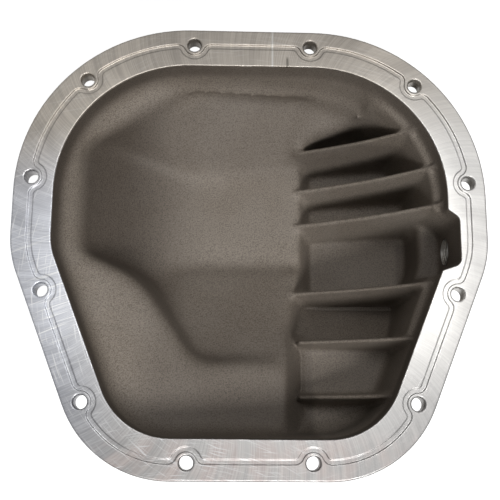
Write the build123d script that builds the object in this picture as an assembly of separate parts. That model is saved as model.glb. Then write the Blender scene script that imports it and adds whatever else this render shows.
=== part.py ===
from build123d import *
import math
import os

# Differential cover, one aluminium casting, millimetres.
# Gasket face up: z = 0 is the machined face, the bowl hangs below it, the
# origin is the middle of the flange outline. x runs along the axle tubes.

# Flange outline, given by its corners before rounding
FLANGE_WIDTH = 358.8
FLANGE_HEIGHT = 343.8
HIP_Y = -8.8
LEAN_DEG = 21.9
SHOULDER_R = 131.9
HIP_R = 80.0
FOOT_R = 84.0
FLANGE_THICK = 14.0
LAND_WIDTH = 29.3
FLANGE_EDGE_CHAMFER = 0.8

# Twelve bolt holes, mirrored left and right: their bearing from the middle of
# the flange, and their even distance from its edge
BOLT_BEARINGS_DEG = [74.07, 45.29, 16.79, -13.10, -43.75, -74.07]
BOLT_INSET = 12.8
BOLT_HOLE_D = 10.3
BOLT_CHAMFER = 0.75

# Sealing groove: follows the outline and steps inwards round every hole
GROOVE_WIDTH = 3.6
GROOVE_DEPTH = 1.5
GROOVE_INSET = 13.6
GROOVE_DETOUR_R = 9.6
GROOVE_BLEND_R = 5.0

# Shell
WALL = 7.0
WALL_DRAFT_DEG = 3.0

# Shallow rim floor that slopes down towards the deep side
RIM_LEFT_X = -145.0
RIM_LEFT_DEPTH = 25.0
RIM_RIGHT_X = 45.0
RIM_RIGHT_DEPTH = 49.0
RIM_FOOT_R = 12.0
FOOT_FACETS = 4

# Central well: its edge in the rim floor and its outline at the trough's
# depth, corner by corner, counter-clockwise from the upper left
WELL_EDGE = [(-140, 81), (-140, 4), (-86, -18), (-39, -86), (49, -86), (49, 143), (-40, 143)]
WELL_EDGE_RADII = [30, 24, 60, 32, 0, 0, 110]
WELL_FLOOR = [(-134, 92), (-134, 14), (-79, -9), (-30, -72), (49, -72), (49, 90), (-30, 73)]
WELL_FLOOR_RADII = [24, 14, 45, 28, 0, 0, 90]
WELL_LIP_R = 7.0

# Floor of the well from the top down: trough, crease, rising basin
TROUGH_DEPTH = 98.0
TROUGH_LOW_Y = 13.0
CREASE_Y = 2.0
CREASE_DEPTH = 100.0
BASIN_SHOULDER_Y = -6.0
BASIN_SHOULDER_DEPTH = 92.5
BASIN_FOOT_Y = -82.0
BASIN_FOOT_DEPTH = 51.0
CREASE_BLEND_R = 8.0

# Scoop: the trough's floor climbs in an arc to the left
SCOOP_LEFT_X = -137.0
SCOOP_FLAT_X = -30.0

# Roof above the pockets
ROOF_TOP_Y = 168.0
ROOF_TOP_DEPTH = 33.0
ROOF_RIDGE_Y = 77.0
ROOF_EDGE = [(40.0, 99.0), (58.0, 109.5), (95.0, 121.5), (80.0, 146.0)]
ROOF_NOSE_R = 9.0

# Pockets on the right, between the ribs
POCKET_RAMP_X = 27.0
POCKET_RAMP_DEPTH = 58.0
POCKET_LEFT_X = 45.0
POCKET_LEFT_FOOT_X = 56.0
POCKET_LEFT_DEPTH = 122.0
POCKET_RIGHT_DEPTH = 106.0
POCKET_RIGHT_X = 150.0
SHELF_WIDTH = 5.0
SHELF_DEPTH = 20.0
SHELF_RIDGE_R = 3.0
LEDGE_Y = -35.0
LEDGE_DEPTH = 104.0
SHALLOW_TOP_Y = -66.0
SHALLOW_DEPTH = 80.0
SHALLOW_FOOT_R = 18.0
STEP_X = 44.5
STEP_DEPTH = 73.0

# Ribs: even pitch, the one that would cross the filler port is left out
RIB_FIRST_Y = 98.6
RIB_PITCH = 30.8
RIB_COUNT = 5
RIB_LOW_YS = [-67.3, -110.5]
RIB_CREST_THICK = 2.8
RIB_FOOT_UPPER = 5.5
RIB_FOOT_LEFT = 12.0
RIB_FOOT_RIGHT = 6.5
RIB_END_DEPTH = 11.0
RIB_SPANS = 6
RIB_STRAIGHT_SHARE = 0.72

# Filler port through the right-hand wall
PORT_Y = 6.0
PORT_DEPTH = 50.0
PORT_BORE_D = 20.6
PORT_BOSS_D = 34.0
PORT_FACE_X = 177.0
NOTCH_X = 158.6
NOTCH_TOP_Y = 23.0
NOTCH_LOW_Y = -13.0
NOTCH_REACH = 20.0
NOTCH_TOP_RISE = 15.0
NOTCH_LOW_DROP = 7.0
NOTCH_DEPTH = 66.0
NOTCH_R = 7.0

# Cooling fins over the back, all ending in one plane
FIN_HEIGHT = 4.0
FIN_THICK = 4.5
FIN_PITCH = 18.0
FIN_COUNT = 14
FIN_FIELD_CREST = [(-80.0, -62.0), (-80.0, 108.0), (128.0, 108.0), (132.0, -62.0)]
FIN_FIELD_ROOT = [(-126.0, -116.0), (-126.0, 134.0), (150.0, 134.0), (150.0, -116.0)]
FIN_FIELD_CORNER_R = 40.0
FIN_ROOT_DEPTH = 30.0

SKY = 5.0


def rounded_corner_face(corners, radii):
    """Closed polygon with each corner rounded by its own radius."""
    face = make_face(Polyline(*corners, close=True))
    for (x, y), radius in zip(corners, radii):
        if radius > 0:
            near = face.vertices().sort_by_distance(Vector(x, y, 0))[0]
            face = fillet(near, radius)
    return face


def flange_outline():
    """Outline of the flange, mirrored about x = 0."""
    half_w = FLANGE_WIDTH / 2
    half_h = FLANGE_HEIGHT / 2
    foot_x = half_w - (HIP_Y + half_h) * math.tan(math.radians(LEAN_DEG))
    corners = [
        (half_w, half_h),
        (half_w, HIP_Y),
        (foot_x, -half_h),
        (-foot_x, -half_h),
        (-half_w, HIP_Y),
        (-half_w, half_h),
    ]
    return rounded_corner_face(corners, [SHOULDER_R, HIP_R, FOOT_R, FOOT_R, HIP_R, SHOULDER_R])


OUTLINE = flange_outline()


def window(grow):
    """Opening of the flange, grown outwards by a distance."""
    return offset(OUTLINE, amount=grow - LAND_WIDTH)


def reach(face, bearing_deg):
    """Where a ray from the origin leaves a face."""
    turn = math.radians(bearing_deg)
    far = FLANGE_WIDTH + FLANGE_HEIGHT
    ray = Line((0, 0), (far * math.cos(turn), far * math.sin(turn)))
    return max((ray & face).vertices(), key=lambda v: v.X ** 2 + v.Y ** 2)


def bolt_centres():
    """Middles of the right-hand bolt holes, from the top down."""
    line = offset(OUTLINE, amount=-BOLT_INSET)
    hits = [reach(line, bearing) for bearing in BOLT_BEARINGS_DEG]
    return [(hit.X, hit.Y) for hit in hits]


def slab_xz(points, y_low, y_high):
    """Outline in the x-z plane pulled along y."""
    face = make_face(Polyline(*[(x, y_low, z) for x, z in points], close=True))
    return extrude(face, amount=y_high - y_low, dir=(0, 1, 0))


def slab_yz(points, x_low, x_high):
    """Outline in the y-z plane pulled along x."""
    face = make_face(Polyline(*[(x_low, y, z) for y, z in points], close=True))
    return extrude(face, amount=x_high - x_low, dir=(1, 0, 0))


def between(low, high):
    """Block between two corners."""
    size = [b - a for a, b in zip(low, high)]
    middle = [(a + b) / 2 for a, b in zip(low, high)]
    return Pos(*middle) * Box(*size)


def tall_window(grow):
    """Drafted window column deep enough for every pocket."""
    depth = POCKET_LEFT_DEPTH + 2 * WALL + FIN_HEIGHT
    return extrude(window(grow), amount=-depth, taper=WALL_DRAFT_DEG)


def rim_slope():
    """Fall of the rim floor for each millimetre to the right."""
    return (RIM_RIGHT_DEPTH - RIM_LEFT_DEPTH) / (RIM_RIGHT_X - RIM_LEFT_X)


def rim_depth(x):
    """Depth of the sloping rim floor."""
    return RIM_LEFT_DEPTH + rim_slope() * (x - RIM_LEFT_X)


def on_slope(face, lift):
    """Flat outline laid on a plane parallel to the rim floor, a distance above it."""
    column = extrude(Pos(0, 0, SKY) * face, amount=-2 * POCKET_LEFT_DEPTH)
    plane = Plane(origin=(0, 0, lift - rim_depth(0)), z_dir=(rim_slope(), 0, 1))
    return section(column, section_by=plane).faces()[0]


def rim_well(grow):
    """Shallow rim: drafted wall, rounded foot in bands, sloping floor."""
    foot_r = RIM_FOOT_R + grow / 2
    bands = []
    for i in range(FOOT_FACETS + 1):
        turn = math.radians(90) * i / FOOT_FACETS
        lift = foot_r * (1 - math.sin(turn)) - grow
        wall_in = (rim_depth(0) - foot_r) * math.tan(math.radians(WALL_DRAFT_DEG))
        inset = wall_in + foot_r * (1 - math.cos(turn))
        bands.append(on_slope(window(grow - inset), lift))
    top = Pos(0, 0, SKY) * window(grow)
    shape = loft([top.face()] + bands[:1], ruled=True) + loft(bands, ruled=True)
    nose_x, nose_y = ROOF_EDGE[2]
    left = between((-FLANGE_WIDTH, -FLANGE_HEIGHT, -FLANGE_WIDTH), (POCKET_LEFT_X, FLANGE_HEIGHT, SKY))
    above_roof = between((0, nose_y, -FLANGE_WIDTH), (nose_x, FLANGE_HEIGHT, SKY))
    return shape & (left + above_roof)


def scoop_floor(grow):
    """Everything above the curved scoop floor."""
    run = SCOOP_FLAT_X - SCOOP_LEFT_X
    fall = CREASE_DEPTH - RIM_LEFT_DEPTH
    radius = (run * run + fall * fall) / (2 * fall)
    centre_z = radius - CREASE_DEPTH
    big = radius + grow
    y_low = -FLANGE_HEIGHT
    last = math.asin(min((run + 2 * grow) / big, 0.98))
    arc_points = [
        (SCOOP_FLAT_X - big * math.sin(turn), y_low, centre_z - big * math.cos(turn))
        for turn in (last, last / 2, 0.0)
    ]
    start, end = arc_points[0], arc_points[-1]
    right = POCKET_LEFT_X + 2 * WALL
    rest = Polyline(end, (right, y_low, end[2]), (right, y_low, SKY), (start[0], y_low, SKY), start)
    face = make_face([ThreePointArc(*arc_points), rest])
    return extrude(face, amount=2 * FLANGE_HEIGHT, dir=(0, 1, 0))


def well_floor(grow):
    """Everything above the floor of the trough and the basin."""
    far_y = FLANGE_HEIGHT / 2
    points = [
        (far_y, SKY),
        (far_y, -TROUGH_DEPTH - grow),
        (TROUGH_LOW_Y, -TROUGH_DEPTH - grow),
        (CREASE_Y, -CREASE_DEPTH - grow),
        (BASIN_SHOULDER_Y, -BASIN_SHOULDER_DEPTH - grow),
        (BASIN_FOOT_Y, -BASIN_FOOT_DEPTH - grow),
        (BASIN_FOOT_Y - WALL - grow, -RIM_LEFT_DEPTH),
        (BASIN_FOOT_Y - WALL - grow, SKY),
    ]
    slab = slab_yz(points, SCOOP_LEFT_X - 2 * WALL, POCKET_LEFT_X + 2 * WALL)
    bends = [
        edge
        for edge in slab.edges().filter_by(Axis.X)
        if BASIN_SHOULDER_Y - 1 < edge.center().Y < CREASE_Y + 1
    ]
    return fillet(bends, CREASE_BLEND_R)


def central_well(grow):
    """Trough, scoop and basin in one drafted well with a soft lip."""
    edge = rounded_corner_face(WELL_EDGE, WELL_EDGE_RADII)
    floor = rounded_corner_face(WELL_FLOOR, WELL_FLOOR_RADII)
    lips = [(WELL_LIP_R, grow), (WELL_LIP_R * 0.3, -WELL_LIP_R * 0.3), (0, -WELL_LIP_R)]
    if grow > 0:
        lips = [(0, grow), (0, -WELL_LIP_R)]
    sections = [on_slope(offset(edge, amount=out + grow), lift - grow) for out, lift in lips]
    sections.append((Pos(0, 0, -CREASE_DEPTH - grow) * offset(floor, amount=grow)).face())
    shape = loft(sections, ruled=True)
    return shape & scoop_floor(grow) & well_floor(grow) & tall_window(grow)


def roof(grow):
    """Slope above the pockets, with a rounded nose at its right end."""
    points = [
        (ROOF_TOP_Y + grow, SKY),
        (ROOF_TOP_Y + grow, -ROOF_TOP_DEPTH),
        (ROOF_RIDGE_Y + grow, -TROUGH_DEPTH - grow),
        (ROOF_RIDGE_Y - WALL, -TROUGH_DEPTH - grow),
        (ROOF_RIDGE_Y - WALL, SKY),
    ]
    left = WELL_EDGE[-1][0]
    slab = slab_yz(points, left, FLANGE_WIDTH / 2)
    nose = [(left, ROOF_EDGE[0][1])] + ROOF_EDGE + [(left, ROOF_EDGE[-1][1])]
    plan = rounded_corner_face(nose, [0, 0, 0, ROOF_NOSE_R, 0, 0])
    plan = offset(plan, amount=grow) if grow > 0 else plan
    column = extrude(Pos(0, 0, SKY) * plan, amount=-2 * TROUGH_DEPTH)
    right_part = between((POCKET_LEFT_X - 2 * WALL, 0, -FLANGE_WIDTH), (FLANGE_WIDTH, FLANGE_HEIGHT, SKY))
    return slab & column & right_part & tall_window(grow - RIM_FOOT_R / 2)


def pocket_side(grow):
    """Space above the ramp on the left and the sloping pocket floor."""
    fall = POCKET_LEFT_DEPTH - POCKET_RAMP_DEPTH
    run = POCKET_LEFT_FOOT_X - POCKET_RAMP_X
    top_x = POCKET_RAMP_X - (POCKET_RAMP_DEPTH + SKY) * run / fall
    right = FLANGE_WIDTH / 2
    return slab_xz(
        [
            (top_x - grow, SKY),
            (POCKET_LEFT_FOOT_X - grow, -POCKET_LEFT_DEPTH - grow),
            (POCKET_RIGHT_X, -POCKET_RIGHT_DEPTH - grow),
            (right, -POCKET_RIGHT_DEPTH - grow),
            (right, SKY),
        ],
        -FLANGE_HEIGHT / 2,
        FLANGE_HEIGHT / 2,
    )


def pockets(grow):
    """Deep pockets, the ledge and slope below the port, and the raised step, without ribs."""
    far = FLANGE_WIDTH / 2
    top_y = ROOF_EDGE[2][1] + 2 * grow
    profile = slab_yz(
        [
            (far, SKY),
            (far, -POCKET_LEFT_DEPTH - grow),
            (LEDGE_Y, -POCKET_LEFT_DEPTH - grow),
            (LEDGE_Y, -LEDGE_DEPTH - grow),
            (SHALLOW_TOP_Y, -SHALLOW_DEPTH - grow),
            (SHALLOW_TOP_Y - 1, SKY),
        ],
        -far,
        far,
    )
    (x0, y0), (x1, y1), (x2, y2), (x3, y3) = ROOF_EDGE
    plan = make_face(
        Polyline(
            (-far, y0),
            (x0, y0),
            (x1, y1),
            (x2, y2),
            (x3, y3),
            (far, y3),
            (far, -far),
            (-far, -far),
            close=True,
        )
    )
    plan = offset(plan, amount=grow) if grow > 0 else plan
    column = extrude(Pos(0, 0, SKY) * plan, amount=-2 * POCKET_LEFT_DEPTH)
    deep = pocket_side(grow) & profile & column & tall_window(grow - SHELF_WIDTH)
    well = extrude(window(grow), amount=-SHALLOW_DEPTH - grow, taper=WALL_DRAFT_DEG)
    foot = well.faces().sort_by(Axis.Z)[0].edges()
    well = fillet(foot, SHALLOW_FOOT_R + grow)
    well = well & between((-far, -far, -far), (far, SHALLOW_TOP_Y, SKY))
    return deep + (well & pocket_side(grow))


def step_block():
    """Raised floor between the two lowest ribs."""
    return between(
        (STEP_X, RIB_LOW_YS[1], -SHALLOW_DEPTH - WALL / 2),
        (FLANGE_WIDTH / 2, RIB_LOW_YS[0], -STEP_DEPTH),
    )


def shelf(grow):
    """Narrow shelf along the right-hand wall, above the pockets."""
    well = extrude(window(grow), amount=-SHELF_DEPTH - grow, taper=WALL_DRAFT_DEG)
    return well & between((0, -FLANGE_HEIGHT, -FLANGE_WIDTH), (FLANGE_WIDTH, FLANGE_HEIGHT, SKY))


def notch(grow):
    """Recess in the wall that clears the filler port."""
    inner_x = NOTCH_X - NOTCH_REACH
    corners = [
        (NOTCH_X + grow, NOTCH_TOP_Y + grow),
        (NOTCH_X + grow, NOTCH_LOW_Y - grow),
        (inner_x, NOTCH_LOW_Y - NOTCH_LOW_DROP - grow),
        (inner_x, NOTCH_TOP_Y + NOTCH_TOP_RISE + grow),
    ]
    face = rounded_corner_face(corners, [NOTCH_R + grow, NOTCH_R + grow, 0, 0])
    return extrude(face, amount=-NOTCH_DEPTH - grow)


def bowl(grow):
    """Whole cavity grown by a distance: 0 for the inside, the wall for the outside."""
    shape = rim_well(grow)
    for piece in (central_well(grow), roof(grow), pockets(grow), shelf(grow), notch(grow)):
        shape = shape + piece
    return shape


def rib_ys():
    """Heights of the ribs, from the top down."""
    upper = [RIB_FIRST_Y - RIB_PITCH * i for i in range(RIB_COUNT)]
    across_port = min(upper, key=lambda y: abs(y - PORT_Y))
    upper.remove(across_port)
    return upper + RIB_LOW_YS


def base_depth(y):
    """Depth of the central floor where a rib starts."""
    if y > ROOF_RIDGE_Y:
        rise = (TROUGH_DEPTH - ROOF_TOP_DEPTH) / (ROOF_TOP_Y - ROOF_RIDGE_Y)
        return TROUGH_DEPTH - rise * (y - ROOF_RIDGE_Y)
    if y > BASIN_SHOULDER_Y:
        return TROUGH_DEPTH
    rise = (BASIN_SHOULDER_DEPTH - BASIN_FOOT_DEPTH) / (BASIN_SHOULDER_Y - BASIN_FOOT_Y)
    return max(BASIN_SHOULDER_DEPTH - rise * (BASIN_SHOULDER_Y - y), POCKET_RAMP_DEPTH)


def wall_x(y):
    """Where the window edge is at a height, on the right."""
    ray = Line((0, y), (FLANGE_WIDTH, y))
    return max(v.X for v in (ray & window(0)).vertices())


def rib(y):
    """Rib whose crest climbs in an arc from the central floor to the side wall."""
    x_low = POCKET_LEFT_X - WALL
    x_high = wall_x(y)
    start = -base_depth(y)
    foot = -POCKET_LEFT_DEPTH - WALL / 2
    bend = 1 - RIB_STRAIGHT_SHARE
    sections = []
    for i in range(RIB_SPANS + 1):
        part = i / RIB_SPANS
        x = x_low + (x_high - x_low) * part
        crest = start - (RIB_END_DEPTH + start) * (RIB_STRAIGHT_SHARE * part + bend * part ** 3)
        lower = RIB_FOOT_LEFT + (RIB_FOOT_RIGHT - RIB_FOOT_LEFT) * part
        corners = [
            (x, y - RIB_CREST_THICK / 2, crest),
            (x, y + RIB_CREST_THICK / 2, crest),
            (x, y + RIB_FOOT_UPPER, foot),
            (x, y - lower, foot),
        ]
        sections.append(make_face(Polyline(*corners, close=True)).face())
    return loft(sections, ruled=True)


def fins():
    """Even upright fins over the back, cut off in one plane."""
    crest_z = -POCKET_LEFT_DEPTH - WALL - FIN_HEIGHT
    radii = [FIN_FIELD_CORNER_R] * len(FIN_FIELD_ROOT)
    root = Pos(0, 0, -FIN_ROOT_DEPTH) * rounded_corner_face(FIN_FIELD_ROOT, radii)
    crest = Pos(0, 0, crest_z) * rounded_corner_face(FIN_FIELD_CREST, radii)
    field = loft([root.face(), crest.face()], ruled=True) & tall_window(WALL)
    first = field.bounding_box().center().X - FIN_PITCH * (FIN_COUNT - 1) / 2
    slabs = [
        between(
            (first + FIN_PITCH * i - FIN_THICK / 2, -FLANGE_HEIGHT, crest_z - SKY),
            (first + FIN_PITCH * i + FIN_THICK / 2, FLANGE_HEIGHT, 0),
        )
        for i in range(FIN_COUNT)
    ]
    return [field & slab for slab in slabs]


def groove():
    """Ring cut for the sealing bead."""
    line = offset(OUTLINE, amount=-GROOVE_INSET)
    for x, y in bolt_centres():
        for side in (-1, 1):
            line = line - Pos(side * x, y) * Circle(GROOVE_DETOUR_R)
    line = offset(offset(line, amount=-GROOVE_BLEND_R), amount=GROOVE_BLEND_R)
    ring = offset(line, amount=GROOVE_WIDTH / 2) - offset(line, amount=-GROOVE_WIDTH / 2)
    return extrude(ring, amount=-GROOVE_DEPTH)


def bolt_cutter(x, y):
    """Through hole with a chamfered mouth."""
    radius = BOLT_HOLE_D / 2
    hole = Pos(x, y, -FLANGE_THICK / 2) * Cylinder(radius, 4 * FLANGE_THICK)
    mouth = Pos(x, y, -BOLT_CHAMFER / 2) * Cone(radius, radius + BOLT_CHAMFER, BOLT_CHAMFER)
    return hole + mouth


def port_cylinder(diameter, inner_x):
    """Round bar along the filler port's axis, from a place inside to the port's face."""
    length = PORT_FACE_X - inner_x
    return Pos(inner_x + length / 2, PORT_Y, -PORT_DEPTH) * Rot(0, 90, 0) * Cylinder(diameter / 2, length)


def cover():
    """The finished casting."""
    plate = extrude(OUTLINE, amount=-FLANGE_THICK)
    rims = plate.edges().group_by(Axis.Z)
    plate = chamfer(rims[0] + rims[-1], FLANGE_EDGE_CHAMFER)
    under = between((-FLANGE_WIDTH, -FLANGE_HEIGHT, -FLANGE_WIDTH), (FLANGE_WIDTH, FLANGE_HEIGHT, -FLANGE_THICK / 2))
    body = plate + (bowl(WALL) & under) + port_cylinder(PORT_BOSS_D, NOTCH_X - WALL)
    for fin in fins():
        body = body + fin
    body = body - bowl(0)
    keep = tall_window(WALL / 2) & bowl(WALL / 2)
    for y in rib_ys():
        body = body + (rib(y) & keep)
    body = body + (step_block() & keep)
    body = body - port_cylinder(PORT_BORE_D, NOTCH_X - WALL)
    for x, y in bolt_centres():
        for side in (-1, 1):
            body = body - bolt_cutter(side * x, y)
    return body - groove()


if __name__ == "__main__":
    os.makedirs("parts", exist_ok=True)
    part = cover()
    part.label = "cover"
    export_step(part, "parts/cover.step")
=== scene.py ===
import logging
import math
from dataclasses import dataclass, field
from enum import Enum, auto
from functools import partial, reduce

import bmesh
import bpy
import numpy as np
from bpy.types import Material, Mesh, Node, NodeTree, Object
from mathutils import Matrix, Vector


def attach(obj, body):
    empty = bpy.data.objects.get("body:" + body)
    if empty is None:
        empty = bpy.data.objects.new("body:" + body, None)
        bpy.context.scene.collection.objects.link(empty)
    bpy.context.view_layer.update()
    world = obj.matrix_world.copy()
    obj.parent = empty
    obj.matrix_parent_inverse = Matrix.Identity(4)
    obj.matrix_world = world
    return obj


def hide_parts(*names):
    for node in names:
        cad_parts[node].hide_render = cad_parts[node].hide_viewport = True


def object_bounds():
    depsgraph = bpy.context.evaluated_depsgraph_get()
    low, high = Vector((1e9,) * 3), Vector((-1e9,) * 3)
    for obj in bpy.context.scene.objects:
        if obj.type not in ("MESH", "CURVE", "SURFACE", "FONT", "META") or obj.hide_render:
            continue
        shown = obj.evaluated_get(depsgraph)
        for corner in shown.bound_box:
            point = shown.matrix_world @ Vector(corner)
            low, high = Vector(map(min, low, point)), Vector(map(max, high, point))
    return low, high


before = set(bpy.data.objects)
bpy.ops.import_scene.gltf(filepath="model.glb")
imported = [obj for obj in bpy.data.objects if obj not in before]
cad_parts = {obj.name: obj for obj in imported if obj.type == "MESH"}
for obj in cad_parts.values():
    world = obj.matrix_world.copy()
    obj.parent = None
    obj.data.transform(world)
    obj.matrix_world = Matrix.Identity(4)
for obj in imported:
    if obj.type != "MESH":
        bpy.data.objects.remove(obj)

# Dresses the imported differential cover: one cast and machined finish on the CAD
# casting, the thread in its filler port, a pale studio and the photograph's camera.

CAD_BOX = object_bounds()
LOG = logging.getLogger("differential_cover")
MM = 0.001
Colour = tuple[float, float, float, float]
Pair = tuple[float, float]
Triple = tuple[float, float, float]
Socket = bpy.types.NodeSocket
Shell, Edge = bmesh.types.BMesh, bmesh.types.BMEdge


def shade(red: float, green: float, blue: float) -> Colour:
    """A colour given as it is seen on a screen, from 0 to 255, as linear values.

    Args:
        red: The red level.
        green: The green level.
        blue: The blue level.

    Returns:
        The linear colour with full alpha.
    """
    levels = (red / 255.0, green / 255.0, blue / 255.0)
    linear = [v / 12.92 if v <= 0.04045 else ((v + 0.055) / 1.055) ** 2.4 for v in levels]
    return (linear[0], linear[1], linear[2], 1.0)


def placed(name: str, data: bpy.types.ID) -> Object:
    """Puts a new object into the scene.

    Args:
        name: Its name.
        data: Its mesh, lamp or camera.

    Returns:
        The object.
    """
    made = bpy.data.objects.new(name, data)
    bpy.context.scene.collection.objects.link(made)
    return made


@dataclass(frozen=True)
class Ramp:
    """A step from one value to another."""

    low: float  # where the step starts
    high: float  # where it ends
    to_low: float = 0.0
    to_high: float = 1.0

    def linear(self, values: np.ndarray) -> np.ndarray:
        """The step as a straight line, for an array."""
        return np.interp(values, (self.low, self.high), (self.to_low, self.to_high))


class Blend(Enum):
    """How a second colour is laid on a first one."""

    MIX = "MIX"
    MULTIPLY = "MULTIPLY"


class Graph:
    """A node tree, with short calls that add nodes and join their sockets."""

    def __init__(self, tree: NodeTree) -> None:
        """Keeps the tree that the nodes go into."""
        self.tree = tree

    def node(self, kind: str, **settings: object) -> Node:
        """Adds a node.

        Args:
            kind: The node's type name.
            settings: Attributes to set on it.

        Returns:
            The new node.
        """
        made = self.tree.nodes.new(kind)
        for name, value in settings.items():
            setattr(made, name, value)
        return made

    def feed(self, socket: Socket, value: object) -> None:
        """Links a socket to another, or sets it to a value.

        Args:
            socket: The input socket.
            value: An output socket, a number or a tuple.
        """
        if isinstance(value, Socket):
            self.tree.links.new(value, socket)
        else:
            socket.default_value = value

    def math(self, operation: str, *values: object) -> Socket:
        """Adds a math node.

        Args:
            operation: The operation's name.
            values: Numbers or output sockets.

        Returns:
            Its output socket.
        """
        made = self.node("ShaderNodeMath", operation=operation)
        for socket, value in zip(made.inputs, values):
            self.feed(socket, value)
        return made.outputs[0]

    def times(self, *values: object) -> object:
        """Multiplies numbers or output sockets."""
        return reduce(partial(self.math, "MULTIPLY"), values)

    def most(self, *values: object) -> object:
        """Picks the largest of some numbers or output sockets."""
        return reduce(partial(self.math, "MAXIMUM"), values)

    def join(self, *parts: object) -> Socket:
        """Makes a vector of its components.

        Args:
            parts: Two or three components.

        Returns:
            The vector as a socket.
        """
        made = self.node("ShaderNodeCombineXYZ")
        for socket, value in zip(made.inputs, parts):
            self.feed(socket, value)
        return made.outputs[0]

    def length(self, *offsets: object) -> Socket:
        """The length of a vector given by its components.

        Args:
            offsets: Two or three components.

        Returns:
            The length as a socket.
        """
        made = self.node("ShaderNodeVectorMath", operation="LENGTH")
        self.feed(made.inputs[0], self.join(*offsets))
        return made.outputs["Value"]

    def fade(self, value: object, ramp: Ramp) -> Socket:
        """A step with smooth ends.

        Args:
            value: What is tested.
            ramp: The step.

        Returns:
            The result as a socket.
        """
        made = self.node("ShaderNodeMapRange", interpolation_type="SMOOTHSTEP", clamp=True)
        settings = (value, ramp.low, ramp.high, ramp.to_low, ramp.to_high)
        for socket, item in zip(made.inputs, settings):
            self.feed(socket, item)
        return made.outputs[0]

    def blend(self, factor: object, first: object, second: object,
              how: Blend = Blend.MIX) -> Socket:
        """Mixes two colours.

        Args:
            factor: How much of the second colour shows.
            first: The first colour.
            second: The second colour.
            how: The blend type.

        Returns:
            The mixed colour as a socket.
        """
        made = self.node("ShaderNodeMix", data_type="RGBA", blend_type=how.value)
        self.feed(made.inputs["Factor"], factor)
        self.feed(made.inputs[6], first)
        self.feed(made.inputs[7], second)
        return made.outputs[2]

    def between(self, factor: object, first: object, second: object) -> Socket:
        """Mixes two numbers.

        Args:
            factor: How much of the second number shows.
            first: The first number.
            second: The second number.

        Returns:
            The mixed number as a socket.
        """
        made = self.node("ShaderNodeMix", data_type="FLOAT")
        for place, item in ((0, factor), (2, first), (3, second)):
            self.feed(made.inputs[place], item)
        return made.outputs[0]

    def noise(self, vector: object, scale: object, detail: float = 2.0,
              roughness: float = 0.5) -> Socket:
        """Adds a noise texture.

        Args:
            vector: Where it is read.
            scale: Its scale, per metre.
            detail: Its octaves.
            roughness: How much each finer octave adds.

        Returns:
            Its value as a socket.
        """
        made = self.node("ShaderNodeTexNoise", noise_dimensions="3D")
        self.feed(made.inputs["Vector"], vector)
        self.feed(made.inputs["Scale"], scale)
        made.inputs["Detail"].default_value = detail
        made.inputs["Roughness"].default_value = roughness
        return made.outputs["Fac"]

    def split(self, vector: object) -> list[Socket]:
        """The three components of a vector.

        Args:
            vector: The vector.

        Returns:
            Its X, Y and Z sockets.
        """
        made = self.node("ShaderNodeSeparateXYZ")
        self.feed(made.inputs[0], vector)
        return list(made.outputs)


def blank(name: str) -> tuple[Material, Graph, Node]:
    """Makes a material with nodes.

    Args:
        name: Its name.

    Returns:
        The material, its graph and its shader.
    """
    made = bpy.data.materials.new(name)
    made.use_nodes = True
    return made, Graph(made.node_tree), made.node_tree.nodes["Principled BSDF"]


class GroupMaker:
    """Builds a shader node group with named inputs and outputs, and places it in materials."""

    def __init__(self, name: str, size: str, outputs: tuple[str, ...]) -> None:
        """Makes the group's tree and sockets.

        Args:
            name: The group's name.
            size: The name of the input beside Position, a length.
            outputs: The names of the outputs, which are numbers.
        """
        self.tree = bpy.data.node_groups.new(name, "ShaderNodeTree")
        new = self.tree.interface.new_socket
        new("Position", in_out="INPUT", socket_type="NodeSocketVector")
        new(size, in_out="INPUT", socket_type="NodeSocketFloat").default_value = 1.0
        for label in outputs:
            new(label, in_out="OUTPUT", socket_type="NodeSocketFloat")
        self.graph = Graph(self.tree)
        self.entry = self.graph.node("NodeGroupInput")
        self.exit = self.graph.node("NodeGroupOutput")

    def taken(self, label: str) -> Socket:
        """The named input, as seen inside the group."""
        return self.entry.outputs[label]

    def give(self, label: str, value: object) -> None:
        """Sends a value out of the group by the output's name."""
        self.graph.feed(self.exit.inputs[label], value)

    def place(self, graph: Graph, **values: object) -> Node:
        """Puts the group into a material.

        Args:
            graph: The material's graph.
            values: Input values by name.

        Returns:
            The group node.
        """
        made = graph.node("ShaderNodeGroup", node_tree=self.tree)
        for label, value in values.items():
            graph.feed(made.inputs[label], value)
        return made


class Way(Enum):
    """What a ramp is read along: an axis or a mix of two."""

    X = auto()
    Y = auto()
    Z = auto()
    SIDE = auto()  # X to either side
    UP_OR_DOWN = auto()  # Y to either side
    REACH = auto()  # the distance from the middle
    DIAGONAL = auto()  # the sum of X and Y
    SLANT = auto()  # Y less a quarter of X


@dataclass(frozen=True)
class Zone:
    """An area with soft edges."""

    label: str
    strength: float  # how much of its effect shows
    # The ramps that bound it, in metres, which are multiplied.
    ramps: tuple[tuple[Way, Ramp], ...]


@dataclass(frozen=True)
class Stroke:
    """A single soft line on the land, upright."""

    middle_m: float  # where it lies, in X
    half_m: float
    colour: Colour
    zone: Zone


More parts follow.
